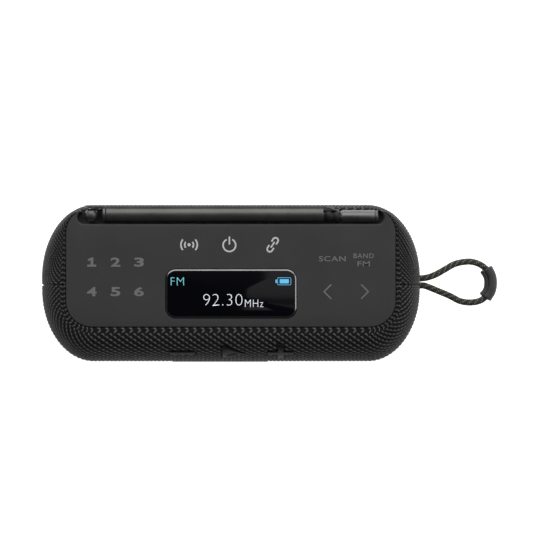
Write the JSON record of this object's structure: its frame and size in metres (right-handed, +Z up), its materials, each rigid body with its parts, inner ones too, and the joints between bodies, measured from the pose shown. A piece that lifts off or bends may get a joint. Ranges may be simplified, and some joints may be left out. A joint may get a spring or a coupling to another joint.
{
  "type": "portable tabletop radio",
  "caption": "Portable radio with a fabric-covered body, flat key panel with display, folding telescopic antenna and a wrist strap.",
  "frame": {"origin": "centre of the body's footprint, on the surface it stands on; the strap's cord isn't counted", "axes": "+X along the body towards the wrist strap, -Y the front with the round-edged buttons, +Z up"},
  "size_m": [0.2289, 0.0786, 0.0764],
  "materials": {
    "fabric": "woven, matte",
    "soft_panel": "soft-touch matte",
    "hard_plastic": "moulded, satin",
    "rubber": "matte",
    "glass": "polished, nearly black",
    "bright_edge": "satin",
    "antenna_metal": "black, satin",
    "steel": "bright",
    "board": "matte",
    "paper": "matte",
    "cell_wrap": "satin wrap",
    "cord": "braided",
    "badge": "satin"
  },
  "bodies": {
    "body": {"base_foot": "rubber", "base_plate": "hard_plastic", "base_screw_1": "steel", "base_screw_2": "steel", "base_screw_3": "steel", "base_screw_4": "steel", "battery_cell_front": "cell_wrap", "battery_cell_rear": "cell_wrap", "battery_tray": "hard_plastic", "button_board": "board", "display_bezel": "bright_edge", "display_lens": "glass", "display_module": "board", "driver_frame": "hard_plastic", "driver_magnet": "steel", "driver_surround": "rubber", "front_badge": "badge", "front_fabric": "fabric", "front_shell": "hard_plastic", "key_board": "board", "main_board": "board", "port_bezel": "hard_plastic", "radiator_frame": "hard_plastic", "radiator_surround": "rubber", "rear_fabric": "fabric", "rear_shell": "hard_plastic", "strap_cord": "cord", "strap_grip": "rubber", "strap_grommet": "rubber", "top_panel": "soft_panel", "usb_socket": "steel"},
    "antenna_swivel_body": {"antenna_post": "antenna_metal", "antenna_nut": "steel"},
    "antenna_mast": {"antenna_hinge_arm": "antenna_metal", "antenna_screw": "steel", "antenna_sleeve": "antenna_metal"},
    "antenna_section_2": {"antenna_section_2": "steel"},
    "antenna_section_3": {"antenna_section_3": "steel"},
    "antenna_tip": {"antenna_tip": "antenna_metal"},
    "key_broadcast": {"key_broadcast": "soft_panel"},
    "key_power": {"key_power": "soft_panel"},
    "key_link": {"key_link": "soft_panel"},
    "key_1": {"key_1": "soft_panel"},
    "key_2": {"key_2": "soft_panel"},
    "key_3": {"key_3": "soft_panel"},
    "key_4": {"key_4": "soft_panel"},
    "key_5": {"key_5": "soft_panel"},
    "key_6": {"key_6": "soft_panel"},
    "key_scan": {"key_scan": "soft_panel"},
    "key_band": {"key_band": "soft_panel"},
    "key_previous": {"key_previous": "soft_panel"},
    "key_next": {"key_next": "soft_panel"},
    "button_minus": {"button_minus": "rubber"},
    "button_play": {"button_play": "rubber"},
    "button_plus": {"button_plus": "rubber"},
    "driver_cone": {"driver_cone": "paper"},
    "radiator_plate": {"radiator_plate": "paper"}
  },
  "joints": [
    {"name": "antenna_swivel", "type": "hinge", "parent": "body", "child": "antenna_swivel_body", "pos_m": [-0.07, 0.0342, 0.0725], "axis": [0, 0, 1], "range_deg": [0, 80]},
    {"name": "antenna_tilt", "type": "hinge", "parent": "antenna_swivel_body", "child": "antenna_mast", "pos_m": [-0.07, 0.0342, 0.0725], "axis": [0, -1, 0], "range_deg": [0, 90]},
    {"name": "antenna_section_2_slide", "type": "slide", "parent": "antenna_mast", "child": "antenna_section_2", "axis": [1, 0, 0], "range_m": [0, 0.095]},
    {"name": "antenna_section_3_slide", "type": "slide", "parent": "antenna_section_2", "child": "antenna_section_3", "axis": [1, 0, 0], "range_m": [0, 0.095]},
    {"name": "antenna_tip_slide", "type": "slide", "parent": "antenna_section_3", "child": "antenna_tip", "axis": [1, 0, 0], "range_m": [0, 0.095]},
    {"name": "key_broadcast_press", "type": "slide", "parent": "body", "child": "key_broadcast", "axis": [0, 0, -1], "range_m": [0, 0.0005], "stiffness_N_per_m": 800},
    {"name": "key_power_press", "type": "slide", "parent": "body", "child": "key_power", "axis": [0, 0, -1], "range_m": [0, 0.0005], "stiffness_N_per_m": 800},
    {"name": "key_link_press", "type": "slide", "parent": "body", "child": "key_link", "axis": [0, 0, -1], "range_m": [0, 0.0005], "stiffness_N_per_m": 800},
    {"name": "key_1_press", "type": "slide", "parent": "body", "child": "key_1", "axis": [0, 0, -1], "range_m": [0, 0.0005], "stiffness_N_per_m": 800},
    {"name": "key_2_press", "type": "slide", "parent": "body", "child": "key_2", "axis": [0, 0, -1], "range_m": [0, 0.0005], "stiffness_N_per_m": 800},
    {"name": "key_3_press", "type": "slide", "parent": "body", "child": "key_3", "axis": [0, 0, -1], "range_m": [0, 0.0005], "stiffness_N_per_m": 800},
    {"name": "key_4_press", "type": "slide", "parent": "body", "child": "key_4", "axis": [0, 0, -1], "range_m": [0, 0.0005], "stiffness_N_per_m": 800},
    {"name": "key_5_press", "type": "slide", "parent": "body", "child": "key_5", "axis": [0, 0, -1], "range_m": [0, 0.0005], "stiffness_N_per_m": 800},
    {"name": "key_6_press", "type": "slide", "parent": "body", "child": "key_6", "axis": [0, 0, -1], "range_m": [0, 0.0005], "stiffness_N_per_m": 800},
    {"name": "key_scan_press", "type": "slide", "parent": "body", "child": "key_scan", "axis": [0, 0, -1], "range_m": [0, 0.0005], "stiffness_N_per_m": 800},
    {"name": "key_band_press", "type": "slide", "parent": "body", "child": "key_band", "axis": [0, 0, -1], "range_m": [0, 0.0005], "stiffness_N_per_m": 800},
    {"name": "key_previous_press", "type": "slide", "parent": "body", "child": "key_previous", "axis": [0, 0, -1], "range_m": [0, 0.0005], "stiffness_N_per_m": 800},
    {"name": "key_next_press", "type": "slide", "parent": "body", "child": "key_next", "axis": [0, 0, -1], "range_m": [0, 0.0005], "stiffness_N_per_m": 800},
    {"name": "button_minus_press", "type": "slide", "parent": "body", "child": "button_minus", "axis": [0, 0.7314, -0.682], "range_m": [0, 0.001], "stiffness_N_per_m": 600},
    {"name": "button_play_press", "type": "slide", "parent": "body", "child": "button_play", "axis": [0, 0.7314, -0.682], "range_m": [0, 0.001], "stiffness_N_per_m": 600},
    {"name": "button_plus_press", "type": "slide", "parent": "body", "child": "button_plus", "axis": [0, 0.7314, -0.682], "range_m": [0, 0.001], "stiffness_N_per_m": 600},
    {"name": "driver_cone_stroke", "type": "slide", "parent": "body", "child": "driver_cone", "axis": [0, -1, 0], "range_m": [-0.0015, 0.0015], "stiffness_N_per_m": 1500},
    {"name": "radiator_plate_stroke", "type": "slide", "parent": "body", "child": "radiator_plate", "axis": [0, -1, 0], "range_m": [-0.0015, 0.0015], "stiffness_N_per_m": 1500}
  ],
  "couplings": [
    {"joint": "antenna_section_2_slide", "follows": "antenna_tilt", "m_per_rad": 0.021},
    {"joint": "antenna_section_3_slide", "follows": "antenna_tilt", "m_per_rad": 0.021},
    {"joint": "antenna_tip_slide", "follows": "antenna_tilt", "m_per_rad": 0.021}
  ]
}
